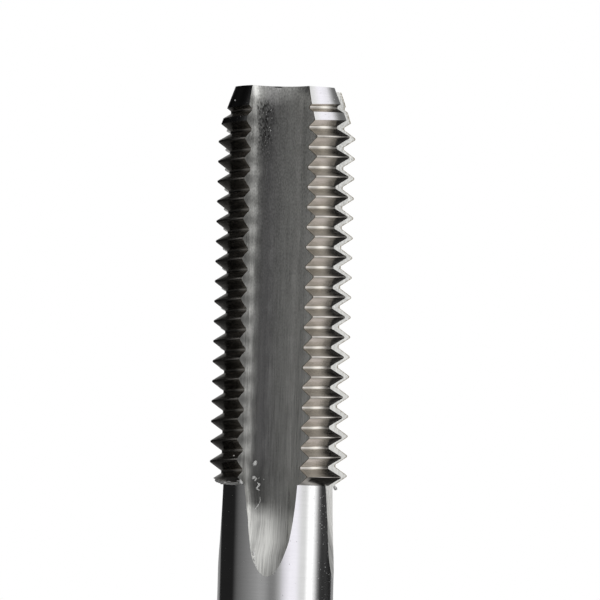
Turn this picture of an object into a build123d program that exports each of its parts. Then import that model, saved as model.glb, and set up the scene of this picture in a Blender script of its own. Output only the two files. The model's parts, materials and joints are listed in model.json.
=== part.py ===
from build123d import *
import os
from math import cos, radians, sin, sqrt, tan

# A 3/4-10 UNC hand tap with four straight flutes, ground from one bar of high-speed steel.
# It stands on its driving square with the cutting end up: +Z runs along the tool, the origin is
# the centre of the square's end face, and one flute faces -Y. Millimetres and degrees.

# Lengths along the tool
overall_length = 107.95
thread_length = 50.8  # from the point down to the shoulder
full_flute_length = 46.6  # from the point down to where the flute's floor starts to rise
neck_length = 16.0  # from the shoulder down to the shank
neck_taper = 0.8  # height of the cone between neck and shank
square_length = 17.46
end_chamfer = 0.9  # on the shank's end, at 45 degrees

# Sizes across the tool
major_diameter = 19.05
neck_diameter = 14.75
shank_diameter = 14.986
square_width = 11.227  # across the flats
square_corner = 1.0  # radius that the cutter leaves where a flat ends

# Thread, right-hand and single-start
pitch = 2.54
thread_angle = 60.0
crest_flat = 0.20
root_flat = 0.32
first_crest = 6.735  # from the point down to a full crest, on the -Y side

# Lead: the cone that tapers the first threads, ground off-centre so that each heel drops away
lead_angle = 21.3  # from the axis
point_diameter = 14.7
lead_offset = 0.32

# Flutes
flute_count = 4
core_diameter = 9.18  # steel left between the floors of opposite flutes
floor_radius = 3.97
floor_offset = 0.50  # of the floor's centre, towards the cutting face
face_angle = 15.9  # cutting face, from the flute's own direction
heel_angle = 40.5  # back wall, from the flute's own direction
wheel_radius = 44.0  # of the grinding wheel, which makes the run-out

# Centre holes in both ends
centre_diameter = 5.0
centre_angle = 60.0
pilot_diameter = 2.0
pilot_depth = 4.2

CLEAR = 1.5  # how far the cutting tools reach past the steel
UNCUT_ARC = 20.0  # middle of each flute, which the thread and lead tools leave out
SWING = radians(80)  # how far round its axle each flute's cutter is carried, to be clear of the steel

major_radius = major_diameter / 2
core_radius = core_diameter / 2
shoulder_height = overall_length - thread_length
flute_pitch_angle = 360 / flute_count
front = Rot(0, 0, -90)  # turns what is drawn on +X to the -Y side


def threaded_blank():
    """The cylinder that carries the thread, up to the point.

    It rises from the neck in a cone as steep as a thread's flank, which the grinding wheel
    leaves where it draws back from the thread.
    """
    rise = (major_radius - neck_diameter / 2) * tan(radians(thread_angle / 2))
    outline = [
        (0, shoulder_height),
        (neck_diameter / 2, shoulder_height),
        (major_radius, shoulder_height + rise),
        (major_radius, overall_length),
        (0, overall_length),
    ]
    return revolve(Plane.XZ * make_face(Polyline(*outline, close=True)), axis=Axis.Z)


def thread_space(land):
    """The space between the threads of one land: a comb swept up the helix.

    A groove's flanks rise from the root flat until they meet the next groove's, a little outside
    the blank, so the blank leaves each crest its flat. The lands' combs are one helix, each
    turned on by a flute and raised by that share of the pitch.
    """
    slope = tan(radians(thread_angle / 2))
    root_radius = major_radius - (pitch - crest_flat - root_flat) / 2 / slope
    apex_radius = major_radius + crest_flat / 2 / slope
    outside = major_radius + CLEAR
    top = overall_length - first_crest + pitch * (1 + int(first_crest / pitch) + 1)
    grooves = 2 + int((top - shoulder_height) / pitch)
    outline = [(outside, top), (apex_radius, top)]
    for groove in range(grooves):
        centre = top - pitch * (groove + 0.5)
        outline.append((root_radius, centre + root_flat / 2))
        outline.append((root_radius, centre - root_flat / 2))
        outline.append((apex_radius, centre - pitch / 2))
    outline.append((outside, top - pitch * grooves))
    section = Plane.XZ * make_face(Polyline(*outline, close=True))
    arc = flute_pitch_angle - UNCUT_ARC
    helix = Helix(pitch, pitch * arc / 360, root_radius)
    comb = Solid.sweep(section.face(), helix, is_frenet=True)
    turn = UNCUT_ARC / 2 + flute_pitch_angle * land
    return Pos(0, 0, pitch * turn / 360) * Rot(0, 0, turn) * front * comb


def lead_space(land):
    """What the lead takes off one land: the outside of a cone set off towards its cutting edge."""
    slope = tan(radians(lead_angle))
    tip = (point_diameter / 2, overall_length)
    outside = major_radius + CLEAR
    foot = (outside, overall_length - (outside - tip[0]) / slope)
    above = overall_length + CLEAR
    outline = [tip, foot, (outside, above), (tip[0] - CLEAR * slope, above)]
    ring = Plane.XZ * make_face(Polyline(*outline, close=True))
    arc = flute_pitch_angle - UNCUT_ARC
    cutter = Rot(0, 0, -arc / 2) * revolve(ring, axis=Axis.Z, revolution_arc=arc)
    middle = flute_pitch_angle * (land + 0.5)
    return Rot(0, 0, middle) * front * Pos(0, lead_offset, 0) * cutter


def shank():
    """Neck and shank, with the end chamfer, up to the shoulder."""
    neck_foot = shoulder_height - neck_length
    shank_radius = shank_diameter / 2
    outline = [
        (0, 0),
        (shank_radius - end_chamfer, 0),
        (shank_radius, end_chamfer),
        (shank_radius, neck_foot - neck_taper),
        (neck_diameter / 2, neck_foot),
        (neck_diameter / 2, shoulder_height),
        (0, shoulder_height),
    ]
    return revolve(Plane.XZ * make_face(Polyline(*outline, close=True)), axis=Axis.Z)


def flute():
    """The wheel's path in the flute that faces -Y.

    The section is a round floor between two straight walls that are tangent to it. It runs
    straight down from above the point, and then swings out round the wheel's axle.
    """
    centre_y = -sqrt((core_radius + floor_radius) ** 2 - floor_offset**2)
    face = radians(face_angle)
    heel = radians(heel_angle)
    centre = Vector(-floor_offset, centre_y)
    face_foot = centre + Vector(-cos(face), sin(face)) * floor_radius
    heel_foot = centre + Vector(cos(heel), sin(heel)) * floor_radius
    floor = centre + Vector(0, floor_radius)
    face_end = face_foot + Vector(-sin(face), -cos(face)) * major_radius
    heel_end = heel_foot + Vector(sin(heel), -cos(heel)) * major_radius
    walls = [Line(face_foot, face_end), Line(face_end, heel_end), Line(heel_end, heel_foot)]
    section = make_face([ThreePointArc(heel_foot, floor, face_foot), *walls])
    start = Vector(0, -core_radius, overall_length + CLEAR)
    turn = Vector(0, -core_radius, overall_length - full_flute_length)
    swing = Vector(0, -wheel_radius * (1 - cos(SWING)), -wheel_radius * sin(SWING))
    half = Vector(0, -wheel_radius * (1 - cos(SWING / 2)), -wheel_radius * sin(SWING / 2))
    path = Wire([Edge.make_line(start, turn), Edge.make_three_point_arc(turn, turn + half, turn + swing)])
    return Solid.sweep((Pos(0, 0, start.Z) * section).face(), path)


def square_flat():
    """What the driving square takes off its -Y side, rounded where the flat ends."""
    inner = square_width / 2
    outer = max(shank_diameter, square_width) / 2 + CLEAR + square_corner
    corner_start = (inner, square_length - square_corner)
    corner_end = (inner + square_corner, square_length)
    edges = [
        Line((inner, -CLEAR), corner_start),
        RadiusArc(corner_start, corner_end, square_corner),
        Polyline(corner_end, (outer, square_length), (outer, -CLEAR), (inner, -CLEAR)),
    ]
    return front * extrude(Plane.XZ * make_face(edges), amount=shank_diameter, both=True)


def centre_hole():
    """A centre hole with its mouth at the origin, going down: a cone and a pilot drilling."""
    cone_depth = (centre_diameter - pilot_diameter) / 2 / tan(radians(centre_angle / 2))
    outline = [
        (0, 0),
        (centre_diameter / 2, 0),
        (pilot_diameter / 2, -cone_depth),
        (pilot_diameter / 2, -pilot_depth),
        (0, -pilot_depth - pilot_diameter / 4),
    ]
    return revolve(Plane.XZ * make_face(Polyline(*outline, close=True)), axis=Axis.Z)


def thread_tap():
    """The whole tap, in the order that it is made: turned, fluted, squared and ground."""
    tap = threaded_blank() + shank()
    for index in range(flute_count):
        tap -= Rot(0, 0, flute_pitch_angle * index) * flute()
    for index in range(4):
        tap -= Rot(0, 0, 90 * index) * square_flat()
    tap -= Pos(0, 0, overall_length) * centre_hole()
    tap -= Rot(180, 0, 0) * centre_hole()
    for land in range(flute_count):
        tap -= lead_space(land)
        tap -= thread_space(land)
    return tap.solid()


os.makedirs("parts", exist_ok=True)
export_step(thread_tap(), "parts/thread_tap.step")
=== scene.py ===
import json
import math

import bmesh
import bpy
import numpy as np
from mathutils import Matrix

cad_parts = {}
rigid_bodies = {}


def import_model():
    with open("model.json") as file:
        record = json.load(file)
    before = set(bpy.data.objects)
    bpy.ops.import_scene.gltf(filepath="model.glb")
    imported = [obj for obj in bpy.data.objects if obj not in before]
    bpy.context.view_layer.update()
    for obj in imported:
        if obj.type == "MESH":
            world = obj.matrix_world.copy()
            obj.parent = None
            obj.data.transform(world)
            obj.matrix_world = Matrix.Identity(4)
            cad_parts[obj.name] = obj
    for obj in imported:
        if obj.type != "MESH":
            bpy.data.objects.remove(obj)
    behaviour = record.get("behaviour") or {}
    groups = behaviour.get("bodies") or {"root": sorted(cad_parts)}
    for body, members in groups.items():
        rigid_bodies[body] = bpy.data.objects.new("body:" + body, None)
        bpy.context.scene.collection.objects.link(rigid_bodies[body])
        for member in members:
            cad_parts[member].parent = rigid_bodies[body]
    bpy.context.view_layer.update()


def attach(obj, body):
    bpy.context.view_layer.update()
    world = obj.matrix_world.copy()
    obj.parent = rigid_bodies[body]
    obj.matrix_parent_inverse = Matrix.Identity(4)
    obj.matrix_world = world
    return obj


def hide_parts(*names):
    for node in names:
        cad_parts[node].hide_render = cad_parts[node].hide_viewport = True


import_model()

# ---------------------------------------------------------------------------
# Shank: the plain end of the bar, hardened tool steel, turned and then ground round.
# A square is milled on its last stretch, and its bottom edge is chamfered.
# ---------------------------------------------------------------------------
SHANK_RADIUS = 7.493
SQUARE_HALF_WIDTH = 5.6135
SQUARE_LENGTH = 17.46
SQUARE_CORNER = 1.0
END_CHAMFER = 0.9
NECK_RADIUS = 7.375
NECK_FOOT = 41.15
NECK_TAPER = 0.8
HALF_FLAT_STEPS, CORNER_STEPS = 5, 6
LAND_STEPS = 2 * HALF_FLAT_STEPS + CORNER_STEPS


def square_ring(half_width, radius):
    """One quarter of a round bar with two flats, from the middle of one flat to the next.

    The angle goes evenly over half a flat, over the round corner and over half a flat again.
    The corner starts where the cosine of the angle is half width over radius. On a flat the
    reach is half width over the cosine of the angle from that flat's middle."""
    start = np.arccos(half_width / radius)
    flat = np.linspace(0, 1, HALF_FLAT_STEPS + 1) * start
    corner = start + np.linspace(0, 1, CORNER_STEPS + 1)[1:-1] * (math.pi / 2 - 2 * start)
    angle = np.concatenate([flat, corner, math.pi / 2 - flat[::-1]])
    off_middle = np.minimum(angle, math.pi / 2 - angle)
    reach = np.minimum(radius, half_width / np.cos(off_middle))
    return np.degrees(angle), reach


def quarter_ring(height, angle, reach):
    """Four quarters of one ring: each repeats its start once, for the flute's columns."""
    quarter = np.concatenate([np.full(FLUTE_COLUMNS, angle[0]), angle[1:]])
    size = np.concatenate([np.full(FLUTE_COLUMNS, reach[0]), reach[1:]])
    turned = np.concatenate([[quarter[0]], *(quarter + 90 * k for k in range(4))])
    size = np.concatenate([[size[0]], *(size for k in range(4))])
    turned = np.radians(turned)
    return np.stack(
        [size * np.sin(turned), -size * np.cos(turned), np.full(size.shape, height)], axis=-1
    )


# ---------------------------------------------------------------------------
# Flutes: four straight grooves, ground lengthwise into the hardened bar by a formed wheel.
# Each runs full depth along the thread and climbs out of the neck along the wheel's round.
# ---------------------------------------------------------------------------
POINT_HEIGHT = 107.95
CORE_RADIUS = 4.59
FLOOR_RADIUS = 3.97
FLOOR_OFFSET = 0.50
FLOOR_MIDDLE = 0.2
HEEL_TURN = math.radians(90 - 40.5)
CUTTING_TURN = math.radians(90 - 15.9)
WHEEL_RADIUS = 44.0
FULL_FLUTE_END = POINT_HEIGHT - 46.85
HONE_START = 104.6
HONED_CUTTING_SIDE, HONED_HEEL = -0.40, 0.27
HONED_SPREAD = 4.5
SWING_HEIGHTS = [46.0, 48.3, 50.1, 52.8, 55.5, 57.3]
SWING_OF_ALL = [-0.25, -0.20, -0.02, 0.0, 0.0, 0.0]
SWING_OF_CUTTING_SIDE = [0.0, -0.02, 0.12, 0.34, 0.20, 0.0]
WALL_STEPS, FLOOR_STEPS = 5, 16
FLUTE_COLUMNS = 2 * WALL_STEPS + FLOOR_STEPS
WALL_FOOT_SHARE = 0.855
PAST_ANY_EDGE = 9.0
HALVINGS = 46


def flute_point(along, height):
    """The point of the front flute that is so far along its section, at a height.

    The section is an arc about a centre off to one side, run on straight at both ends. Below
    the full depth each of its points turns about the wheel's centre: its distance from there
    stays, so its depth is that radius squared less the drop squared, under the root. Near
    the point both walls are honed back a little. In the neck the wheel swung a little: the
    end of the groove lies to one side, and its cutting side runs straighter."""
    turn = np.clip(along / FLOOR_RADIUS, -CUTTING_TURN, HEEL_TURN)
    straight = along - FLOOR_RADIUS * turn
    centre = (CORE_RADIUS + FLOOR_RADIUS) ** 2 - FLOOR_OFFSET**2
    x = -FLOOR_OFFSET + FLOOR_RADIUS * np.sin(turn) + straight * np.cos(turn)
    y = -math.sqrt(centre) + FLOOR_RADIUS * np.cos(turn) - straight * np.sin(turn)
    honed = np.clip((height - HONE_START) / (POINT_HEIGHT - HONE_START), 0, 1) ** 2
    honed = honed * np.clip(np.abs(along) / HONED_SPREAD, 0, 1)
    x = x + honed * np.where(along < 0, HONED_CUTTING_SIDE, HONED_HEEL)
    x = x + np.interp(height, SWING_HEIGHTS, SWING_OF_ALL)
    x = x + np.interp(height, SWING_HEIGHTS, SWING_OF_CUTTING_SIDE) * np.clip(-along / 2, 0, 1)
    reach = WHEEL_RADIUS + CORE_RADIUS + y
    drop = np.maximum(FULL_FLUTE_END - height, 0)
    return x, np.sqrt(np.maximum(reach**2 - drop**2, 0)) - WHEEL_RADIUS - CORE_RADIUS


def flute_edge(radius, height, side):
    """How far along its section the flute comes to a radius: side 1 is the heel, -1 the
    cutting face. The stretch that holds the place is halved until nothing is left of it."""
    near = np.full(np.broadcast(radius, height).shape, FLOOR_MIDDLE)
    far = near + PAST_ANY_EDGE * side
    for _ in range(HALVINGS):
        middle = (near + far) / 2
        outside = np.hypot(*flute_point(middle, height)) > radius
        near, far = np.where(outside, near, middle), np.where(outside, middle, far)
    return near


def angle_of(along, height):
    """The angle round the tap, from the front, of a point of the front flute."""
    x, y = flute_point(along, height)
    return np.degrees(np.arctan2(x, -y))


def wall_foot(height):
    """The radius at which a flute's walls begin, most of the way from its floor to the neck."""
    floor = np.hypot(*flute_point(np.full(np.shape(height), FLOOR_MIDDLE), height))
    return floor + WALL_FOOT_SHARE * (NECK_RADIUS - floor)


def body_rows(edge_along, edge_height, land_angle, land_radius, land_height):
    """Rows of points round the tap, from each flute's cutting face to the next one.

    A flute's points lie along its section between its two edges, close together on its walls,
    and their heights go evenly from one edge's to the other's. A land's lie at its angles and
    radii. A turn of each quarter by 90 degrees puts it in its place. The flutes' own places,
    along the section, up the tap and in from either edge, come back too."""
    cut, heel = edge_along
    cut_height, heel_height = edge_height
    cut_foot = np.maximum(cut, flute_edge(wall_foot(cut_height), cut_height, -1))
    heel_foot = np.minimum(heel, flute_edge(wall_foot(heel_height), heel_height, 1))
    wall = np.linspace(0, 1, WALL_STEPS + 1)
    floor = np.linspace(0, 1, FLOOR_STEPS + 1)[1:-1]
    spread = [
        cut[..., None] + (cut_foot - cut)[..., None] * wall,
        cut_foot[..., None] + (heel_foot - cut_foot)[..., None] * floor,
        heel_foot[..., None] + (heel - heel_foot)[..., None] * wall,
    ]
    rise = [
        cut_height[..., None] + 0 * wall,
        cut_height[..., None] + (heel_height - cut_height)[..., None] * floor,
        heel_height[..., None] + 0 * wall,
    ]
    along, height = np.concatenate(spread, axis=-1), np.concatenate(rise, axis=-1)
    x, y = flute_point(along, height)
    turned = np.radians(land_angle)
    quarter = np.radians(90 * np.arange(4))[:, None]
    flute = np.stack(
        [
            x * np.cos(quarter) - y * np.sin(quarter),
            x * np.sin(quarter) + y * np.cos(quarter),
            height,
        ],
        axis=-1,
    )
    land = np.stack(
        [land_radius * np.sin(turned), -land_radius * np.cos(turned), land_height], axis=-1
    )
    joined = np.concatenate([flute[:, :, :-1], land[:, 1:, :-1]], axis=2)
    rows = joined.reshape(len(joined), -1, 3)
    from_edges = [heel[..., None] - along, along - cut[..., None]]
    lines = np.stack([along, height, *from_edges], axis=-1)
    return np.concatenate([rows, land[:, -1, -1:]], axis=1), lines


across_land = np.linspace(0, 1, LAND_STEPS + 1)
quarters = 90.0 * np.arange(-1, 4)

# ---------------------------------------------------------------------------
# Thread: a 60 degree single-start right-hand thread, ground on the lands after hardening.
# It winds round all four lands. Its crests are narrow and its roots a little wider and round.
# ---------------------------------------------------------------------------
THREAD_FOOT = 57.38
FOOT_RADIUS = 7.775
PITCH = 2.54
MAJOR_RADIUS = 9.525
FLANK_SLOPE = 1 / math.tan(math.radians(30))
CREST_ROUND = 0.173
FLANK_APEX = MAJOR_RADIUS + CREST_ROUND
CREST_HALF = CREST_ROUND * math.cos(math.radians(30))
ROOT_RADIUS = 7.7756
ROOT_HALF_FLAT, ROOT_FILLET = 0.131, 0.05
ROOT_HALF = ROOT_HALF_FLAT + ROOT_FILLET * math.sin(math.radians(60))
FIRST_CREST = POINT_HEIGHT - 6.735
LEAD_SLOPE = math.tan(math.radians(21.3))
LEAD_TIP_RADIUS = 7.35
LEAD_RELIEF = 0.32
FOOT_CREST_DROP = 0.04
LAND_START, LAND_SPAN = 28.65, 32.7

# Stations of one tooth, as stretches between six marks: root, flank foot, crest edge, crest
# edge, flank foot, root.
tooth_stations = np.array(
    [0, 0.752, 0.850, 0.936, 1, 1.5, 2, 2.17, 2.34, 2.5, 2.66, 2.83, 3, 3.5]
    + [4, 4.064, 4.150, 4.248]
)
teeth = np.arange(18, -4, -1)
tooth_index = np.repeat(teeth, len(tooth_stations))[:, None, None]
station = np.tile(tooth_stations, len(teeth))[:, None, None]


def tooth_radius(off_crest):
    """Radius of the thread so far above or below a crest: a round arch over the crest, a
    straight flank, and a round fillet into a plain root."""
    off = np.abs((off_crest + PITCH / 2) % PITCH - PITCH / 2)
    arch = np.sqrt(CREST_ROUND**2 - np.minimum(off, CREST_HALF) ** 2)
    crest = MAJOR_RADIUS - CREST_ROUND + arch
    flank = FLANK_APEX - off * FLANK_SLOPE
    into_fillet = np.clip(PITCH / 2 - off - ROOT_HALF_FLAT, 0, ROOT_FILLET * 0.9)
    root = ROOT_RADIUS + ROOT_FILLET - np.sqrt(ROOT_FILLET**2 - into_fillet**2)
    return np.where(off < CREST_HALF, crest, np.where(off > PITCH / 2 - ROOT_HALF, root, flank))


def lead_tip(angle, quarter):
    """Radius of the lead's cone at the point: more towards each land's cutting edge, by the
    offset of the cone's axis times the sine of the angle from the land's middle."""
    return LEAD_TIP_RADIUS + LEAD_RELIEF * np.sin(np.radians(angle - quarter - 45))


def threaded_land(angle, quarter):
    """Height and radius of every station of the thread at these angles round the tap.

    The crest's height rises with the angle by one pitch a turn. The crest's edges move to
    where each flank meets the lead's cone, or the cone as steep as a flank that the wheel
    leaves at the thread's foot. The radius is the least of the tooth and the two cones."""
    crest = FIRST_CREST - PITCH * tooth_index + PITCH * angle / 360
    tip = lead_tip(angle, quarter)
    cone_foot = tip + POINT_HEIGHT * LEAD_SLOPE
    above = (FLANK_APEX + crest * FLANK_SLOPE - cone_foot) / (FLANK_SLOPE - LEAD_SLOPE)
    below = (cone_foot - FLANK_APEX + crest * FLANK_SLOPE) / (FLANK_SLOPE + LEAD_SLOPE)
    half = PITCH / 2 - ROOT_HALF
    foot_of_crest = THREAD_FOOT + (MAJOR_RADIUS - FOOT_CREST_DROP - FOOT_RADIUS) / FLANK_SLOPE
    on_flank = (FLANK_APEX - FOOT_RADIUS) / FLANK_SLOPE
    at_foot = np.minimum(foot_of_crest, (on_flank + crest + THREAD_FOOT) / 2)
    below = np.maximum(np.clip(below, crest - half, crest - CREST_HALF), at_foot)
    below = np.minimum(below, crest + half)
    marks = np.stack(
        [
            crest - PITCH / 2,
            crest - half,
            below,
            np.maximum(np.clip(above, crest + CREST_HALF, crest + half), below),
            crest + half,
            crest + PITCH / 2,
        ]
    )
    first = np.broadcast_to(np.floor(station).astype(int), angle.shape)[None]
    part = station - np.floor(station)
    low = np.take_along_axis(marks, first, axis=0)[0]
    high = np.take_along_axis(marks, first + 1, axis=0)[0]
    height = np.clip(low + (high - low) * part, THREAD_FOOT, POINT_HEIGHT)
    cone = tip + (POINT_HEIGHT - height) * LEAD_SLOPE
    foot_cone = FOOT_RADIUS + (height - THREAD_FOOT) * FLANK_SLOPE
    tooth = np.minimum(tooth_radius(height - crest), foot_cone)
    return height, np.minimum(tooth, cone), cone < tooth + 1e-6


# The lands' edges lie where the thread meets the flutes' walls, and the thread's height there
# depends on the angle in turn, so the two are worked out a few times over.
quarter_of_land = quarters[:, None]
angle = np.broadcast_to(
    quarter_of_land + LAND_START + LAND_SPAN * across_land, (len(station), 5, LAND_STEPS + 1)
)
for _ in range(6):
    height, radius, on_lead = threaded_land(angle, quarter_of_land)
    heel = flute_edge(radius[..., 0], height[..., 0], 1)
    cut = flute_edge(radius[..., -1], height[..., -1], -1)
    first = angle_of(heel, height[..., 0]) + quarters
    last = angle_of(cut, height[..., -1]) + quarters + 90
    angle = first[..., None] + (last - first)[..., None] * across_land
thread_rows, thread_lines = body_rows(
    (cut[:, :-1], heel[:, 1:]), (height[:, :-1, -1], height[:, 1:, 0]), angle, radius, height
)

# ---------------------------------------------------------------------------
# Neck: the bar below the thread, ground a little under the thread's root.
# The flutes run out in it, each to a rounded end.
# ---------------------------------------------------------------------------
NECK_ROWS, NECK_STEP = 52, 0.04
floor_x, _ = flute_point(FLOOR_MIDDLE, NECK_FOOT)
_, floor_y = flute_point(FLOOR_MIDDLE, POINT_HEIGHT)
end_y = -math.sqrt(NECK_RADIUS**2 - floor_x**2)
wheel_y = WHEEL_RADIUS + CORE_RADIUS
run_out_end = FULL_FLUTE_END - math.sqrt((wheel_y + floor_y) ** 2 - (wheel_y + end_y) ** 2)
climb = np.linspace(0, 1, NECK_ROWS)[:, None] ** 2
neck_top = THREAD_FOOT - NECK_STEP
neck_height = run_out_end + (neck_top - run_out_end) * climb * np.ones(5)
heel = flute_edge(NECK_RADIUS, neck_height, 1)
cut = flute_edge(NECK_RADIUS, neck_height, -1)
first = angle_of(heel, neck_height) + quarters
last = angle_of(cut, neck_height) + quarters + 90
neck_angle = first[..., None] + (last - first)[..., None] * across_land
neck_rows, neck_lines = body_rows(
    (cut[:, :-1], heel[:, 1:]),
    (neck_height[:, :-1], neck_height[:, 1:]),
    neck_angle,
    np.full(neck_angle.shape, NECK_RADIUS),
    np.broadcast_to(neck_height[..., None], neck_angle.shape),
)

# ---------------------------------------------------------------------------
# The bar's two ends: square, shank and taper below, and a centre hole in each end face,
# which held the bar between centres while it was turned and ground.
# ---------------------------------------------------------------------------
CENTRE_RADIUS, PILOT_RADIUS = 2.5, 1.0
PILOT_DEPTH, CENTRE_CONE_DEPTH = 4.2, 1.5 * FLANK_SLOPE
shoulder_angle, _ = square_ring(SQUARE_HALF_WIDTH + SQUARE_CORNER, SHANK_RADIUS)
round_reach = np.ones(LAND_STEPS + 1)
tip_angle = angle_of(FLOOR_MIDDLE, np.array([run_out_end]))[0] + 90 * across_land

below_neck = []
base_angle, base_reach = square_ring(SQUARE_HALF_WIDTH, SHANK_RADIUS - END_CHAMFER)
for ring_height, ring_radius in [
    (PILOT_DEPTH + PILOT_RADIUS / 2, 0.0),
    (PILOT_DEPTH, PILOT_RADIUS),
    (CENTRE_CONE_DEPTH, PILOT_RADIUS),
    (0.0, CENTRE_RADIUS),
]:
    below_neck.append(quarter_ring(ring_height, base_angle, ring_radius * round_reach))
below_neck.append(quarter_ring(0.0, base_angle, base_reach))
square_start = len(below_neck)
for ring_height in (END_CHAMFER, 6.0, 12.0):
    below_neck.append(quarter_ring(ring_height, *square_ring(SQUARE_HALF_WIDTH, SHANK_RADIUS)))
for turn in np.radians(np.linspace(0, 90, 7)):
    ring_height = SQUARE_LENGTH - SQUARE_CORNER * (1 - math.sin(turn))
    half_width = SQUARE_HALF_WIDTH + SQUARE_CORNER * (1 - math.cos(turn))
    below_neck.append(quarter_ring(ring_height, *square_ring(half_width, SHANK_RADIUS)))
square_end = len(below_neck)
for ring_height in (SQUARE_LENGTH, 22.0, 28.0, 34.0, NECK_FOOT - NECK_TAPER):
    below_neck.append(quarter_ring(ring_height, shoulder_angle, SHANK_RADIUS * round_reach))
below_neck.append(quarter_ring(NECK_FOOT, shoulder_angle, NECK_RADIUS * round_reach))
middle_angle = (shoulder_angle + tip_angle) / 2
below_neck.append(
    quarter_ring((NECK_FOOT + run_out_end) / 2, middle_angle, NECK_RADIUS * round_reach)
)

outline = thread_rows[-1]
outline_angle = np.unwrap(np.arctan2(outline[:, 0], -outline[:, 1]))
outline_angle = np.maximum.accumulate(outline_angle)
point_rows = []
for ring_depth, ring_radius in [
    (0.0, CENTRE_RADIUS),
    (CENTRE_CONE_DEPTH, PILOT_RADIUS),
    (PILOT_DEPTH, PILOT_RADIUS),
    (PILOT_DEPTH + PILOT_RADIUS / 2, 0.0),
]:
    ring = [ring_radius * np.sin(outline_angle), -ring_radius * np.cos(outline_angle)]
    ring.append(np.full(outline_angle.shape, POINT_HEIGHT - ring_depth))
    point_rows.append(np.stack(ring, axis=-1))

# ---------------------------------------------------------------------------
# Finishes: ground steel all over, no coating. The shank, neck and lead are bright, the
# thread's flanks a little duller, and the flutes satin, with the wheel's lines along them.
# ---------------------------------------------------------------------------
MILLIMETRE = 0.001


def steel(name, colour, roughness):
    """A bare metal of one colour and roughness, and its node tree."""
    made = bpy.data.materials.new(name)
    made.use_nodes = True
    shader = made.node_tree.nodes["Principled BSDF"]
    shader.inputs["Base Color"].default_value = (*colour, 1)
    shader.inputs["Metallic"].default_value = 1.0
    shader.inputs["Roughness"].default_value = roughness
    return made, made.node_tree, shader


def grain(tree, stretch, detail, shift=0.0, source="Object"):
    """Noise with so many grains a metre along each axis, on the tap's own coordinates or on
    the places along and up a flute."""
    place = tree.nodes.new("ShaderNodeTexCoord")
    spread = tree.nodes.new("ShaderNodeMapping")
    spread.inputs["Scale"].default_value = stretch
    spread.inputs["Location"].default_value = (shift, shift, shift)
    noise = tree.nodes.new("ShaderNodeTexNoise")
    noise.inputs["Scale"].default_value = 1.0
    noise.inputs["Detail"].default_value = detail
    tree.links.new(place.outputs[source], spread.inputs["Vector"])
    tree.links.new(spread.outputs["Vector"], noise.inputs["Vector"])
    return noise.outputs[0]


def between(tree, value, low, high, from_low=0.3, from_high=0.7):
    """A value's middle range drawn out to run from one number to another."""
    drawn = tree.nodes.new("ShaderNodeMapRange")
    for socket, number in zip(list(drawn.inputs)[1:5], (from_low, from_high, low, high)):
        socket.default_value = number
    tree.links.new(value, drawn.inputs["Value"])
    return drawn.outputs["Result"]


def reckoned(tree, kind, *terms):
    """A Math node of one kind: each term is a number or another node's output."""
    made = tree.nodes.new("ShaderNodeMath")
    made.operation = kind
    for socket, term in zip(made.inputs, terms):
        if isinstance(term, (int, float)):
            socket.default_value = term
        else:
            tree.links.new(term, socket)
    return made.outputs[0]


def product(tree, first, *others):
    """Numbers and other nodes' outputs multiplied together."""
    for other in others:
        first = reckoned(tree, "MULTIPLY", first, other)
    return first


def window(tree, value, opening, closing):
    """A rise from 0 to 1 over one stretch of a value times a fall to 0 over a later one."""
    risen = between(tree, value, 0.0, 1.0, *opening)
    return product(tree, risen, between(tree, value, 1.0, 0.0, *closing))


def coloured(tree, value, low, high):
    """Two colours mixed by a value from 0 to 1."""
    mixed = tree.nodes.new("ShaderNodeMix")
    mixed.data_type = "RGBA"
    mixed.inputs["A"].default_value = (*low, 1)
    mixed.inputs["B"].default_value = (*high, 1)
    tree.links.new(value, mixed.inputs["Factor"])
    return mixed.outputs["Result"]


def specks(tree, cells, size, share, shift=0.0):
    """1 in a few small round specks, 0 elsewhere: near the seed of one cell in every few."""
    place = tree.nodes.new("ShaderNodeTexCoord")
    moved = tree.nodes.new("ShaderNodeMapping")
    moved.inputs["Location"].default_value = (shift, shift, shift)
    cell = tree.nodes.new("ShaderNodeTexVoronoi")
    cell.inputs["Scale"].default_value = cells
    tree.links.new(place.outputs["Object"], moved.inputs["Vector"])
    tree.links.new(moved.outputs["Vector"], cell.inputs["Vector"])
    parts = tree.nodes.new("ShaderNodeSeparateColor")
    tree.links.new(cell.outputs["Color"], parts.inputs[0])
    near = between(tree, cell.outputs["Distance"], 1.0, 0.0, size * 0.6, size)
    chosen = reckoned(tree, "LESS_THAN", parts.outputs[0], share)
    return product(tree, near, chosen)


def bumped(tree, shader, height, depth):
    """The surface's fine relief, from a height of 0 to 1 that stands for so many metres."""
    relief = tree.nodes.new("ShaderNodeBump")
    relief.inputs["Distance"].default_value = depth
    tree.links.new(height, relief.inputs["Height"])
    tree.links.new(relief.outputs["Normal"], shader.inputs["Normal"])


# Shank, neck and lead: fine rings from the grinding wheel, and a few pits.
bright_steel, tree, shader = steel("bright_ground_steel", (0.63, 0.63, 0.63), 0.12)
rings = grain(tree, (300, 300, 5000), 3.0)
pits = specks(tree, 2600, 0.17, 0.12)
worn = between(tree, grain(tree, (500, 500, 90), 4.0, 3.1), 0.08, 0.16)
place = tree.nodes.new("ShaderNodeTexCoord")
spot = tree.nodes.new("ShaderNodeSeparateXYZ")
tree.links.new(place.outputs["Object"], spot.inputs[0])
handled = between(tree, spot.outputs[0], 0.0, 1.0, 0.0049, 0.0054)
scuffs = product(tree, specks(tree, 4300, 0.3, 0.16, 0.7), handled)
worn = reckoned(tree, "MULTIPLY_ADD", scuffs, 0.6, worn)
tree.links.new(reckoned(tree, "MULTIPLY_ADD", pits, 0.5, worn), shader.inputs["Roughness"])
tree.links.new(
    coloured(tree, between(tree, rings, 0.0, 1.0), (0.61, 0.61, 0.61), (0.65, 0.65, 0.65)),
    shader.inputs["Base Color"],
)
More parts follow.
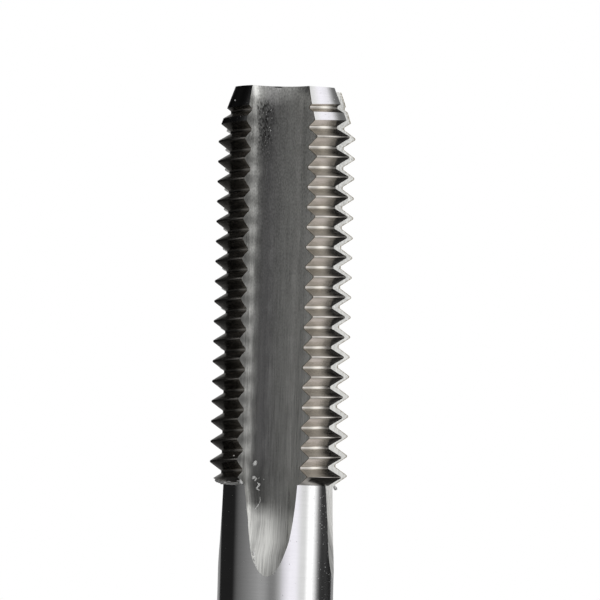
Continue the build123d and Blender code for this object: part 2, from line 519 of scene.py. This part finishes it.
bumped(tree, shader, reckoned(tree, "MULTIPLY_ADD", pits, -3.0, rings), 0.0000002)

# Thread: the same steel a little warmer, with coarser rings on its flanks.
thread_steel, tree, shader = steel("thread_ground_steel", (0.593, 0.564, 0.521), 0.2)
rings = grain(tree, (150, 150, 7000), 3.0, 5.2)
stain = grain(tree, (420, 420, 420), 3.0, 1.7)
tree.links.new(
    coloured(tree, between(tree, stain, 0.0, 1.0), (0.55, 0.52, 0.475), (0.635, 0.607, 0.567)),
    shader.inputs["Base Color"],
)
tree.links.new(between(tree, rings, 0.14, 0.24), shader.inputs["Roughness"])
bumped(tree, shader, rings, 0.0000004)

# Flutes: satin, drawn out lengthwise by the wheel's grit. Their colour carries painted reflection
# and shade: painted light on the cutting face and the heel's wall, and painted shade on the floor
# beside the cutting face as far as the run-out and the honing.
# Each flute has its own stretch of the pattern. The cutting face's edge and the half section are
# in millimetres, the other places and heights in metres.
FLUTE_SPACING = 0.03
CUTTING_FACE_EDGE = -3.3
HALF_SECTION = 7
# Phase and strength of the painted shade bands that the teeth throw across the cutting face's
# reflection.
TOOTH_SHADE_PHASE, TOOTH_SHADE_STRENGTH = -245.16, 0.3
RUN_OUT_FADE, HONING_FADE = (0.0536, 0.0560), (0.1053, 0.1077)
NICK_PLACE = 0.00033
flute_steel, tree, shader = steel("flute_ground_steel", (0.22, 0.22, 0.21), 0.3)
shader.inputs["Anisotropic"].default_value = 0.8
lengthwise = tree.nodes.new("ShaderNodeTangent")
lengthwise.direction_type = "RADIAL"
lengthwise.axis = "Z"
tree.links.new(lengthwise.outputs[0], shader.inputs["Tangent"])
streaks = grain(tree, (9000, 240, 1), 4.0, 2.3, "UV")
broad = grain(tree, (1300, 90, 1), 3.0, 7.7, "UV")
stain = grain(tree, (900, 900, 500), 4.0, 4.4)
grit = grain(tree, (6500, 3200, 1), 3.0, 1.1, "UV")
on_flute = tree.nodes.new("ShaderNodeUVMap")
on_flute.uv_map = "grinding"
along_and_up = tree.nodes.new("ShaderNodeSeparateXYZ")
tree.links.new(on_flute.outputs[0], along_and_up.inputs[0])
up = along_and_up.outputs[1]
along = reckoned(
    tree, "WRAP", along_and_up.outputs[0], FLUTE_SPACING / 2, -FLUTE_SPACING / 2
)
jagged = reckoned(tree, "MULTIPLY_ADD", between(tree, stain, -0.5, 0.5), 0.0004, along)


def ramp_of(tree, value, stops):
    """A colour ramp over a value: stops are (place, brightness) or (place, colour)."""
    made = tree.nodes.new("ShaderNodeValToRGB")
    tree.links.new(value, made.inputs[0])
    band = made.color_ramp
    while len(band.elements) < len(stops):
        band.elements.new(0.5)
    for element, (spot, _) in zip(band.elements, stops):
        element.position = spot
    for element, (_, tone) in zip(band.elements, stops):
        shade = (tone, tone, tone) if isinstance(tone, (int, float)) else tone
        element.color = (*shade, 1)
    return made.outputs[0]


half_section = HALF_SECTION * MILLIMETRE
across_flute = between(tree, jagged, 0.0, 1.0, -half_section, half_section)
# Painted reflection and shade across the section: tones that stand for the light each part of the
# curve catches, lightest at the cutting face and the heel's wall, darkest on the floor beside the
# cutting face.
painted_reflection_and_shade = ramp_of(
    tree,
    across_flute,
    [
        ((place + HALF_SECTION) / (2 * HALF_SECTION), tone)
        for place, tone in [
            (-7, 0.74), (CUTTING_FACE_EDGE - 0.8, 0.74), (CUTTING_FACE_EDGE, 0.52),
            (-2.7, 0.18), (-2.1, 0.09), (-1.2, 0.09), (-0.3, 0.18), (1.3, 0.30),
            (2.2, 0.42), (3.2, 0.60), (7, 0.64),
        ]
    ],
)
# Painted shade on the cutting face: bands one pitch apart, where the other land's teeth cut off the
# soft box's reflection.
a_tooth = 2 * math.pi / (PITCH * MILLIMETRE)
tooth_turn = reckoned(tree, "MULTIPLY_ADD", up, a_tooth, TOOTH_SHADE_PHASE)
painted_tooth_shade = reckoned(tree, "SINE", tooth_turn)
on_face = between(tree, along, 1.0, 0.0, -0.0040, -0.0028)
tooth_shade_on_face = product(tree, painted_tooth_shade, on_face)
tooth_shaded = reckoned(tree, "MULTIPLY_ADD", tooth_shade_on_face, TOOTH_SHADE_STRENGTH, 1.0)

# Painted reflection: the run-out is painted lighter, most on its cutting side, for the light from
# above that its rising floor catches. The honing near the point is polished and lighter.
uneven_height = reckoned(tree, "MULTIPLY_ADD", stain, 0.0016, up)
run_out_share = between(tree, uneven_height, 1.0, 0.0, *RUN_OUT_FADE)
slanted_height = reckoned(tree, "MULTIPLY_ADD", jagged, -0.25, up)
honed_share = between(tree, slanted_height, 0.0, 1.0, *HONING_FADE)
painted_run_out_sheen = between(tree, along, 0.48, 0.1, -0.0015, 0.0015)
sheen_and_honing = reckoned(
    tree, "ADD", product(tree, run_out_share, painted_run_out_sheen), product(tree, honed_share, 0.36)
)

# Grit mottles the upper floor and draws lines in the lower one.
off_run_out = reckoned(tree, "SUBTRACT", 1.0, run_out_share)
mottling = product(tree, between(tree, up, 0.3, 1.0, 0.068, 0.095), off_run_out)
mottled = product(tree, between(tree, grit, -0.3, 0.3), mottling)
line_share = reckoned(tree, "SUBTRACT", 1.3, mottling)
lined = product(tree, between(tree, streaks, -0.24, 0.24), line_share)
streaked = reckoned(tree, "ADD", mottled, lined)
streaked = reckoned(tree, "ADD", between(tree, broad, 0.9, 1.1), streaked)

# A clotted stain with bright dust in it lies near the point, beside the cutting face.
stained = product(
    tree,
    window(tree, up, (0.0975, 0.1015), (0.1055, 0.1065)),
    window(tree, jagged, (-0.0036, -0.003), (-0.0016, -0.0006)),
)
clumps = between(tree, grain(tree, (5200, 5200, 2600), 3.0, 6.6), 0.75, 0.1, 0.42, 0.56)
off_clumps = reckoned(tree, "SUBTRACT", 1.0, product(tree, stained, clumps))
dusty = reckoned(tree, "MULTIPLY_ADD", stained, 0.3, 0.03)
dust = product(tree, specks(tree, 6000, 0.34, 0.22, 0.3), dusty)
brightness = reckoned(tree, "ADD", painted_reflection_and_shade, sheen_and_honing)
tone = product(tree, tooth_shaded, streaked, off_clumps, brightness)
tone = reckoned(tree, "ADD", tone, dust)

# Painted shade: the nick in the top edge is painted dark, for the shade in its hollow.
off_nick = reckoned(tree, "ABSOLUTE", reckoned(tree, "ADD", jagged, NICK_PLACE))
nick_shade = product(
    tree,
    between(tree, off_nick, 0.95, 0.0, 0.0003, 0.0005),
    between(tree, up, 0.0, 1.0, 0.10776, 0.10782),
)
tone = product(tree, tone, reckoned(tree, "SUBTRACT", 1.0, nick_shade))

# A thin brown line of burnt steel runs along the heel's edge, above the neck.
from_edge = tree.nodes.new("ShaderNodeUVMap")
from_edge.uv_map = "edges"
from_heel = tree.nodes.new("ShaderNodeSeparateXYZ")
tree.links.new(from_edge.outputs[0], from_heel.inputs[0])
fray = between(tree, grit, -0.5, 0.5)
frayed = reckoned(tree, "MULTIPLY_ADD", fray, 0.00025, from_heel.outputs[0])
off_heel_edge = between(tree, frayed, 0.0, 1.0, 0.0, 0.0003)
in_neck = between(tree, up, 1.0, 0.0, 0.0572, 0.0580)
clear_of_burn = reckoned(tree, "ADD", off_heel_edge, in_neck)
burnt = coloured(tree, clear_of_burn, (0.42, 0.36, 0.26), (1.0, 1.0, 0.965))
toned = tree.nodes.new("ShaderNodeMix")
toned.data_type = "RGBA"
toned.inputs["A"].default_value = (0, 0, 0, 1)
tree.links.new(tone, toned.inputs["Factor"])
tree.links.new(burnt, toned.inputs["B"])
tree.links.new(toned.outputs["Result"], shader.inputs["Base Color"])
tree.links.new(between(tree, streaks, 0.26, 0.38), shader.inputs["Roughness"])
bumped(tree, shader, streaks, 0.0000025)

# Square's flats: milled, with the cutter's lines across them.
milled_steel, tree, shader = steel("milled_steel", (0.58, 0.58, 0.57), 0.35)
feed_lines = grain(tree, (350, 350, 6000), 3.0, 8.1)
tree.links.new(
    coloured(tree, between(tree, feed_lines, 0.0, 1.0), (0.52, 0.52, 0.51), (0.62, 0.62, 0.61)),
    shader.inputs["Base Color"],
)
tree.links.new(between(tree, feed_lines, 0.3, 0.42), shader.inputs["Roughness"])
bumped(tree, shader, feed_lines, 0.0000015)
body_finishes = [bright_steel, thread_steel, flute_steel, milled_steel]

# ---------------------------------------------------------------------------
# The tap's body: one closed skin of rows from the shank's centre hole up to the point's.
# Fixed to nothing: the tap is a single piece of steel.
# ---------------------------------------------------------------------------
WELD_DISTANCE, SHARP_FROM = 2e-7, 25
NICK_MIDDLE, NICK_HALF_WIDTH, NICK_DEPTH = -0.85, 0.45, 0.11
NICK_REACH, NEAR_NECK = 5, 0.002
rows = np.concatenate([np.stack(below_neck), neck_rows, thread_rows, np.stack(point_rows)])
row_count, column_count = rows.shape[:2]
corner = np.arange(row_count * column_count).reshape(row_count, column_count)
top_edge = rows[len(below_neck) + len(neck_rows) + len(thread_rows) - 1]
nicked = np.abs(top_edge[:, 0] - NICK_MIDDLE) < NICK_HALF_WIDTH
nicked &= np.hypot(top_edge[:, 0], top_edge[:, 1]) < NICK_REACH
top_edge[nicked & (top_edge[:, 1] < 0), 2] -= NICK_DEPTH
faces = np.stack(
    [corner[:-1, :-1], corner[:-1, 1:], corner[1:, 1:], corner[1:, :-1]], axis=-1
).reshape(-1, 4)
in_flute = np.tile(np.arange(FLUTE_COLUMNS + LAND_STEPS) < FLUTE_COLUMNS, 4)
thread_start = len(below_neck) + len(neck_rows)
thread_end = thread_start + len(thread_rows) - 1
finish = np.zeros((row_count - 1, column_count - 1), dtype=int)
on_flat = np.abs(np.arange(LAND_STEPS) - (LAND_STEPS - 1) / 2) > CORNER_STEPS / 2
on_flat = np.tile(np.concatenate([np.zeros(FLUTE_COLUMNS, dtype=bool), on_flat]), 4)
finish[square_start:square_end, on_flat] = 3
finish[thread_start:thread_end] = 1
lead = on_lead[:-1, 1:, :-1] & on_lead[1:, 1:, :-1] & on_lead[:-1, 1:, 1:] & on_lead[1:, 1:, 1:]
finish[thread_start:thread_end, ~in_flute] = 1 - lead.reshape(len(lead), -1)
finish[len(below_neck) : thread_end, in_flute] = 2

# The wheel's lines follow the flutes, so their faces carry places along and across them.
lines = np.concatenate([neck_lines, thread_lines]) * MILLIMETRE
lines[..., 0] += FLUTE_SPACING * np.arange(4)[:, None]
face_lines = np.zeros((row_count - 1, 4, FLUTE_COLUMNS + LAND_STEPS, 4, 4))
face_lines[len(below_neck) : thread_end, :, :FLUTE_COLUMNS] = np.stack(
    [lines[:-1, :, :-1], lines[:-1, :, 1:], lines[1:, :, 1:], lines[1:, :, :-1]], axis=-2
)

tap_mesh = bpy.data.meshes.new("tap_body")
tap_mesh.from_pydata(rows.reshape(-1, 3) * MILLIMETRE, [], faces.tolist())
for made in body_finishes:
    tap_mesh.materials.append(made)
tap_mesh.polygons.foreach_set("material_index", finish.reshape(-1).astype(np.int32))
grinding = tap_mesh.uv_layers.new(name="grinding")
grinding.uv.foreach_set("vector", face_lines[..., :2].astype(np.float32).reshape(-1))
edges = tap_mesh.uv_layers.new(name="edges")
edges.uv.foreach_set("vector", face_lines[..., 2:].astype(np.float32).reshape(-1))
welded = bmesh.new()
welded.from_mesh(tap_mesh)
bmesh.ops.remove_doubles(welded, verts=welded.verts[:], dist=WELD_DISTANCE)
welded.to_mesh(tap_mesh)
open_edges = sum(1 for edge in welded.edges if not edge.is_manifold)
welded.free()
tap_mesh.polygons.foreach_set("use_smooth", np.ones(len(tap_mesh.polygons), dtype=bool))
tap_mesh.set_sharp_from_angle(angle=math.radians(SHARP_FROM))

# The neck is round however its columns crowd towards the run-outs, so its faces take the
# round's own normals: each corner's x and y over its distance from the axis, and no z.
corner_spots = np.empty(len(tap_mesh.vertices) * 3)
tap_mesh.vertices.foreach_get("co", corner_spots)
corner_of = np.empty(len(tap_mesh.loops), dtype=np.int32)
tap_mesh.loops.foreach_get("vertex_index", corner_of)
face_finish = np.empty(len(tap_mesh.polygons), dtype=np.int32)
tap_mesh.polygons.foreach_get("material_index", face_finish)
corners_of_face = np.empty(len(tap_mesh.polygons), dtype=np.int32)
tap_mesh.polygons.foreach_get("loop_total", corners_of_face)
spots = corner_spots.reshape(-1, 3)[corner_of] / MILLIMETRE
reach = np.hypot(spots[:, 0], spots[:, 1])
on_neck = np.repeat(face_finish, corners_of_face) == 0
on_neck &= np.abs(reach - NECK_RADIUS) < NEAR_NECK
face_start = np.concatenate([[0], np.cumsum(corners_of_face)[:-1]])
whole_face = np.minimum.reduceat(on_neck, face_start)
on_neck = np.repeat(whole_face, corners_of_face)
radial = np.where(on_neck[:, None], spots * [1, 1, 0] / np.maximum(reach, 1e-6)[:, None], 0)
tap_mesh.normals_split_custom_set(radial.tolist())
print("tap body:", len(tap_mesh.polygons), "faces,", open_edges, "open edges")

tap_body = bpy.data.objects.new("tap_body", tap_mesh)
bpy.context.collection.objects.link(tap_body)
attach(tap_body, "root")
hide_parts("thread_tap")

# ---------------------------------------------------------------------------
# Burr: the torn lip of steel that the thread's wheel left along the front left land's foot,
# and the few fine shavings that still cling to the front flute.
# ---------------------------------------------------------------------------
AROUND_SHAVING, ALONG_SHAVING = 8, 14
RAGGEDNESS = 0.35
ASLANT = np.array([0.31, 0.83, 0.46])


def shaving(path, thick, waves):
    """A ragged thread of metal: rings about a path, closed to a point at both ends.

    Along the path each ring's size is the thickness times the fourth root of the sine of half
    a turn's share, and two waves make it ragged. The rings stand square to the path."""
    share = np.linspace(0, 1, ALONG_SHAVING)
    knots = np.linspace(0, 1, len(path))
    centre = np.stack([np.interp(share, knots, np.array(path)[:, k]) for k in range(3)], axis=-1)
    ahead = np.gradient(centre, axis=0)
    ahead /= np.linalg.norm(ahead, axis=1)[:, None]
    beside = np.cross(ahead, ASLANT)
    beside /= np.linalg.norm(beside, axis=1)[:, None]
    turn = np.linspace(0, 2 * math.pi, AROUND_SHAVING, endpoint=False)
    around = np.sin(waves * share[:, None] + 2 * turn)
    ragged = 1 + RAGGEDNESS * around * np.cos(1.7 * waves * share)[:, None]
    size = thick * np.maximum(np.sin(math.pi * share), 0)[:, None] ** 0.25 * ragged
    size[[0, -1]] = 0
    third = np.cross(ahead, beside)
    around = np.cos(turn)[:, None] * beside[:, None] + np.sin(turn)[:, None] * third[:, None]
    rings = size[..., None] * around
    return centre[:, None] + rings


def joined_shavings(name, shavings):
    """One mesh of many shavings, each a grid of rings, with its doubled points merged."""
    here = bmesh.new()
    ring = np.arange(AROUND_SHAVING)
    step = np.arange(ALONG_SHAVING - 1)[:, None] * AROUND_SHAVING
    turned = (ring + 1) % AROUND_SHAVING
    skin = np.stack(
        [step + ring, step + turned, step + AROUND_SHAVING + turned, step + AROUND_SHAVING + ring],
        axis=-1,
    ).reshape(-1, 4)
    each = AROUND_SHAVING * ALONG_SHAVING
    points = np.concatenate([made.reshape(-1, 3) for made in shavings]) * MILLIMETRE
    skins = (skin[None] + each * np.arange(len(shavings))[:, None, None]).reshape(-1, 4)
    mesh = bpy.data.meshes.new(name)
    mesh.from_pydata(points, [], skins.tolist())
    here.from_mesh(mesh)
    bmesh.ops.remove_doubles(here, verts=here.verts[:], dist=1e-8)
    bmesh.ops.recalc_face_normals(here, faces=here.faces[:])
    here.to_mesh(mesh)
    here.free()
    mesh.polygons.foreach_set("use_smooth", np.ones(len(mesh.polygons), dtype=bool))
    piece = bpy.data.objects.new(name, mesh)
    bpy.context.collection.objects.link(piece)
    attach(piece, "root")
    return piece


def in_flute_path(*places):
    """Points on the front flute's surface, at places along its section and up the tap."""
    along, height = np.array(places).T
    x, y = flute_point(along, height)
    return np.stack([x, y - 0.03, height], axis=-1)


def on_land_path(*places):
    """Points at angles from the front, radii and heights."""
    degrees, radius, height = np.array(places).T
    turned = np.radians(degrees)
    return np.stack([radius * np.sin(turned), -radius * np.cos(turned), height], axis=-1)


burr_steel, tree, shader = steel("torn_steel", (0.55, 0.55, 0.55), 0.3)
crumpled = grain(tree, (5000, 5000, 5000), 3.0, 0.7)
tree.links.new(
    coloured(tree, between(tree, crumpled, 0.0, 1.0), (0.62, 0.62, 0.60), (0.95, 0.95, 0.95)),
    shader.inputs["Base Color"],
)
tree.links.new(between(tree, crumpled, 0.6, 0.95), shader.inputs["Roughness"])
bumped(tree, shader, crumpled, 0.00003)
thread_burr = joined_shavings(
    "thread_burr",
    [
        shaving(on_land_path((-66, 8.42, 57.86), (-58, 8.15, 57.62), (-50, 8.0, 57.5)), 0.28, 21.0),
        shaving(on_land_path((-60, 8.2, 57.9), (-48, 8.05, 57.72), (-34, 8.1, 57.76)), 0.2, 33.0),
        shaving(on_land_path((-56, 7.85, 57.4), (-44, 7.8, 57.42), (-30, 7.9, 57.45)), 0.2, 27.0),
        shaving(
            on_land_path((-35, 8.2, 57.95), (-31, 8.25, 57.75), (-28.6, 8.1, 57.3)),
            0.22,
            15.0,
        ),
    ],
)
flute_shavings = joined_shavings(
    "flute_shavings",
    [
        shaving(in_flute_path((-2.45, 59.75), (-2.2, 59.95), (-1.95, 60.35)), 0.24, 12.0),
        shaving(in_flute_path((-2.5, 58.0), (-2.25, 58.2), (-2.05, 58.35)), 0.17, 14.0),
        shaving(in_flute_path((-2.15, 57.75), (-2.0, 57.95), (-1.9, 58.2)), 0.12, 9.0),
        shaving(in_flute_path((-1.62, 58.1), (-1.55, 58.15), (-1.5, 58.2)), 0.07, 5.0),
        shaving(in_flute_path((-0.98, 57.95), (-0.93, 58.0), (-0.9, 58.05)), 0.07, 5.0),
        shaving(
            in_flute_path(
                (-1.8, 57.6), (-1.45, 57.35), (-1.75, 57.0), (-1.92, 56.8), (-1.4, 56.55)
            ),
            0.12,
            25.0,
        ),
        shaving(in_flute_path((-2.32, 54.1), (-1.95, 54.5), (-1.62, 54.9)), 0.09, 4.0),
        shaving(in_flute_path((-1.62, 54.9), (-1.42, 55.3), (-1.46, 55.9)), 0.045, 4.0),
        shaving(in_flute_path((-1.72, 49.0), (-1.66, 48.6), (-1.6, 48.3)), 0.11, 8.0),
        shaving(in_flute_path((-1.52, 48.1), (-1.5, 47.8), (-1.4, 47.6)), 0.09, 9.0),
        shaving(in_flute_path((-1.3, 47.3), (-1.22, 46.95), (-1.12, 46.7)), 0.1, 7.0),
        shaving(in_flute_path((-1.3, 104.8), (-1.26, 104.9), (-1.2, 104.95)), 0.06, 5.0),
        shaving(in_flute_path((-1.15, 103.8), (-1.1, 103.9), (-1.05, 103.95)), 0.07, 5.0),
        shaving(in_flute_path((-1.5, 102.6), (-1.42, 102.7), (-1.36, 102.72)), 0.07, 5.0),
        shaving(in_flute_path((-1.3, 102.2), (-1.25, 102.3), (-1.18, 102.35)), 0.08, 5.0),
        shaving(
            on_land_path((-52.3, 8.04, 105.98), (-52, 8.05, 106.04), (-51.7, 8.04, 106.1)),
            0.09,
            4.0,
        ),
        shaving(
            on_land_path((-36, 8.72, 60.8), (-35.5, 8.75, 60.86), (-35.1, 8.73, 60.92)),
            0.1,
            4.0,
        ),
        shaving(on_land_path((76, 7.5, 57.3), (79, 7.6, 57.2), (82, 7.55, 57.0)), 0.2, 17.0),
    ],
)
for piece in (thread_burr, flute_shavings):
    piece.data.materials.append(burr_steel)

# ---------------------------------------------------------------------------
# Studio: a white backdrop and pale floor, and round the tap the cards that a bright metal
# part is lit with: a tall soft box to the right, grey to the front, black beside them.
# ---------------------------------------------------------------------------
FLOOR_WHITENESS = 0.7
floor_mesh = bpy.data.meshes.new("studio_floor")
floor_mesh.from_pydata([(-2, -2, 0), (2, -2, 0), (2, 2, 0), (-2, 2, 0)], [], [(0, 1, 2, 3)])
studio_floor = bpy.data.objects.new("studio_floor", floor_mesh)
bpy.context.collection.objects.link(studio_floor)
floor_paint = bpy.data.materials.new("floor_paint")
floor_paint.use_nodes = True
tree = floor_paint.node_tree
floor_shader = tree.nodes["Principled BSDF"]
floor_shader.inputs["Base Color"].default_value = (0.9, 0.9, 0.9, 1)
floor_shader.inputs["Roughness"].default_value = 0.8
floor_shader.inputs["Specular IOR Level"].default_value = 0.0
glow = tree.nodes.new("ShaderNodeEmission")
glow.inputs["Strength"].default_value = 1.0
seen = tree.nodes.new("ShaderNodeLightPath")
mixed = tree.nodes.new("ShaderNodeMixShader")
tree.links.new(product(tree, seen.outputs["Is Camera Ray"], FLOOR_WHITENESS), mixed.inputs[0])
tree.links.new(floor_shader.outputs[0], mixed.inputs[1])
tree.links.new(glow.outputs[0], mixed.inputs[2])
tree.links.new(mixed.outputs[0], tree.nodes["Material Output"].inputs["Surface"])
floor_mesh.materials.append(floor_paint)
studio_floor.visible_glossy = False

CAMERA_SIDE = 4.93
studio = bpy.data.worlds.new("studio")
bpy.context.scene.world = studio
studio.use_nodes = True
tree = studio.node_tree
place = tree.nodes.new("ShaderNodeTexCoord")
axes = tree.nodes.new("ShaderNodeSeparateXYZ")
tree.links.new(place.outputs["Generated"], axes.inputs[0])


def blend_of(share, low, high):
    """Two colours mixed by a share."""
    made = tree.nodes.new("ShaderNodeMix")
    made.data_type = "RGBA"
    tree.links.new(share, made.inputs["Factor"])
    tree.links.new(low, made.inputs["A"])
    tree.links.new(high, made.inputs["B"])
    return made.outputs["Result"]


def side_stops(stops):
    """Stops given in degrees from the camera's side, to the right, as places along a ramp."""
    return [((side + CAMERA_SIDE + 180) / 360, tone) for side, tone in stops]


def tinted(strength):
    """A faint lavender of one strength."""
    return tuple(strength * share for share in (0.985, 0.965, 1.03))


across = reckoned(tree, "ARCTAN2", axes.outputs["X"], product(tree, axes.outputs["Y"], -1.0))
side = reckoned(tree, "MULTIPLY_ADD", across, 0.5 / math.pi, 0.5)
raised_by = reckoned(tree, "ARCSINE", axes.outputs["Z"])
lift = reckoned(tree, "MULTIPLY_ADD", raised_by, 1 / math.pi, 0.5)

# At the tap's height, from the left round to the right: a grey card behind, a black card at the
# left, a grey card in front, the tall soft box, a narrow strip light beside it and a black card.
level = ramp_of(
    tree,
    side,
    side_stops(
        [
            (-184.9, 0.35), (-151, 0.35), (-144, 0.02), (-95, 0.02), (-82, 0.17), (-60, 0.29),
            (-40, 0.42), (-31, 0.50), (-22, 0.46), (-10, 0.28), (-2, 0.30), (8, 0.62),
            (14, tinted(1.0)), (20, tinted(1.25)), (28, tinted(1.42)), (40, tinted(1.45)),
            (51, 1.1), (59, 1.1), (66, 1.7), (76, 1.85), (84, 1.1), (91, 0.3), (99, 0.05),
            (142, 0.02), (150, 0.35), (175, 0.35),
        ]
    ),
)
# A little above: the same cards, the box weaker and the strip light still strong, and a pale
# card behind on the right.
higher = ramp_of(
    tree,
    side,
    side_stops(
        [
            (-184.9, 0.3), (-153, 0.2), (-144, 0.0), (-96, 0.0), (-72, 0.12), (-48, 0.32),
            (-20, 0.38), (0, 0.38), (24, 0.5), (48, 0.5), (60, 0.6), (67, 1.4), (77, 1.5),
            (85, 0.9), (96, 0.2), (106, 0.25), (118, 0.8), (150, 0.8), (165, 0.4), (175, 0.3),
        ]
    ),
)
# Above them: a wide soft box across the front, a dim card at the back right, and black behind.
raised = ramp_of(
    tree,
    side,
    side_stops(
        [
            (-184.9, 0.02), (-90, 0.0), (-70, 0.3), (-50, 1.2), (-20, 1.35), (40, 1.35),
            (58, 0.9), (85, 0.9), (100, 0.3), (110, 0.2), (140, 0.4), (160, 0.05), (175, 0.03),
        ]
    ),
)
# Higher still: a light on the right that fades to the left, and black behind.
overhead = ramp_of(
    tree,
    side,
    side_stops(
        [
            (-184.9, 0.02), (-100, 0.02), (-72, 0.13), (-24, 0.4), (0, 0.6), (40, 0.9),
            (55, 1.2), (66, tinted(1.45)), (88, tinted(1.45)), (98, 0.6), (106, 0.0), (175, 0.0),
        ]
    ),
)
# Below the tap's height: light thrown back by the table, most in front on the right, grey
# behind and black at the sides.
lowered = ramp_of(
    tree,
    side,
    side_stops(
        [
            (-184.9, 0.3), (-151, 0.3), (-144, 0.0), (-84, 0.03), (-48, 0.17), (-24, 0.32),
            (0, 0.48), (24, 0.9), (38, 0.9), (60, 0.45), (72, 0.68), (86, 0.68), (96, 0.3),
            (104, 0.0), (118, 0.05), (132, 0.4), (175, 0.3),
        ]
    ),
)
# Steeply below: the table itself, bright on the right, darker to the left and black behind.
underneath = ramp_of(
    tree,
    side,
    side_stops(
        [
            (-184.9, 0.03), (-84, 0.0), (-48, 0.13), (-24, 0.29), (0, 0.49), (24, 0.82),
            (40, 0.8), (60, 0.35), (72, 0.65), (86, 0.85), (98, 0.4), (108, 0.0), (175, 0.03),
        ]
    ),
)


def lift_share(start, end):
    """From 0 to 1 as the height over the horizon goes from one number of degrees to another."""
    low, high = sorted([0.5 + start / 180, 0.5 + end / 180])
    ends = (0.0, 1.0) if start < end else (1.0, 0.0)
    return ramp_of(tree, lift, [(low, ends[0]), (high, ends[1])])


ceiling = ramp_of(tree, side, [(0, 0.9), (1, 0.9)])
cards = level
for start, end, further in [
    (1.2, 6, higher),
    (17, 26, raised),
    (30, 40, overhead),
    (46, 60, ceiling),
    (-4, -12, lowered),
    (-16, -30, underneath),
]:
    cards = blend_of(lift_share(start, end), cards, further)
card_light = tree.nodes["Background"]
tree.links.new(cards, card_light.inputs["Color"])
white = tree.nodes.new("ShaderNodeBackground")
white.inputs["Color"].default_value = (1, 1, 1, 1)
seen = tree.nodes.new("ShaderNodeLightPath")
mixed = tree.nodes.new("ShaderNodeMixShader")
tree.links.new(seen.outputs["Is Camera Ray"], mixed.inputs[0])
tree.links.new(card_light.outputs[0], mixed.inputs[1])
tree.links.new(white.outputs[0], mixed.inputs[2])
tree.links.new(mixed.outputs[0], tree.nodes["World Output"].inputs["Surface"])

# ---------------------------------------------------------------------------
# Camera: a long lens at the height of the neck, looking up a little at the threaded end.
# ---------------------------------------------------------------------------
LENS, PITCH_UP, ROLL = 391.1, 2.662, 1.519
CAMERA_PLACE, TURNED_ABOUT = [2.163, -830.47, -41.38], 83.85
camera_data = bpy.data.cameras.new("camera")
camera_data.sensor_width = 36.0
camera_data.lens = LENS
camera_data.clip_start, camera_data.clip_end = 0.05, 20.0
camera = bpy.data.objects.new("camera", camera_data)
bpy.context.collection.objects.link(camera)
pitch_up, roll, swing = np.radians([PITCH_UP, ROLL, CAMERA_SIDE])
ahead = np.array([0, math.cos(pitch_up), math.sin(pitch_up)])
upward = np.array([0, -math.sin(pitch_up), math.cos(pitch_up)])
rightward = np.array([1.0, 0, 0])
right = rightward * math.cos(roll) + upward * math.sin(roll)
up = upward * math.cos(roll) - rightward * math.sin(roll)
spot = np.array(CAMERA_PLACE)
swung = np.array(
    [[math.cos(swing), -math.sin(swing), 0], [math.sin(swing), math.cos(swing), 0], [0, 0, 1]]
)
pose = np.eye(4)
pose[:3, 0], pose[:3, 1], pose[:3, 2] = swung @ right, swung @ up, -(swung @ ahead)
pose[:3, 3] = (swung @ spot + [0, 0, TURNED_ABOUT]) * MILLIMETRE
camera.matrix_world = Matrix(pose.tolist())
bpy.context.scene.camera = camera
bpy.context.scene.view_settings.view_transform = "Standard"
